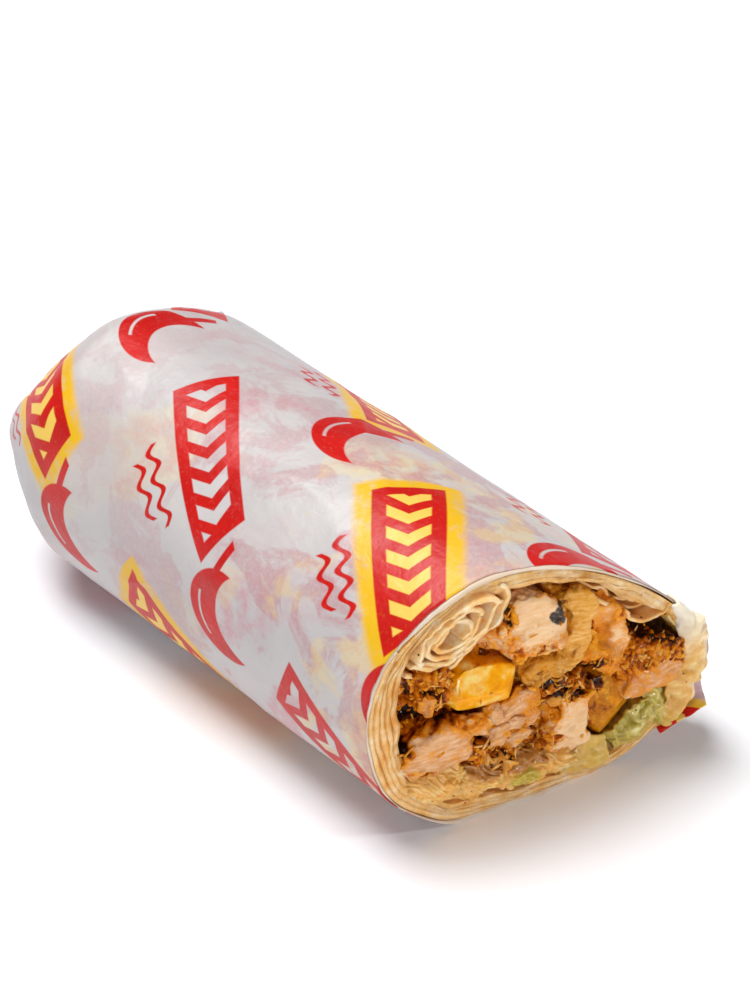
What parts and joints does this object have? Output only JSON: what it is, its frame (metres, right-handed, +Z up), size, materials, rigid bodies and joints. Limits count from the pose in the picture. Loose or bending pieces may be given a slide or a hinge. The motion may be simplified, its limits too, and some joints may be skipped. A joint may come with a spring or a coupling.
{
  "type": "grilled chicken sandwich",
  "caption": "Half of a rolled grilled chicken sandwich: flatbread round chicken, potato and cabbage, in printed greaseproof paper, cut open on a slant.",
  "frame": {"origin": "on the table, under the middle of the whole", "axes": "+X along the roll towards the cut face, +Y across it, +Z up"},
  "size_m": [0.1226, 0.0634, 0.052],
  "materials": {
    "paper": "thin white greaseproof paper, half see-through, printed in red and yellow",
    "bread": "thin pale flatbread, matt, with small toasted spots",
    "chicken": "grilled chicken, browned and spiced outside and pale where it is cut, moist",
    "potato": "cooked potato, golden, glossy with oil",
    "cabbage": "pale, wet, half see-through shredded cabbage",
    "lettuce": "yellow-green leaf, wet",
    "filling": "chopped chicken in dark orange-brown sauce, moist"
  },
  "bodies": {
    "root": {"paper_wrapper": "paper", "flatbread": "bread", "chicken_top": "chicken", "chicken_right": "chicken", "chicken_left": "chicken", "potato_left": "potato", "chicken_tall": "chicken", "chicken_low": "chicken", "chicken_middle": "chicken", "chicken_edge": "chicken", "potato_right": "potato", "chicken_small": "chicken", "chicken_charred": "chicken", "chicken_shreds": "chicken", "potato_strip": "potato", "cabbage_side": "cabbage", "bread_coil": "bread", "bread_fold": "bread", "lettuce": "lettuce", "cabbage_under": "cabbage", "cabbage_left": "cabbage", "filling": "filling"}
  },
  "joints": []
}
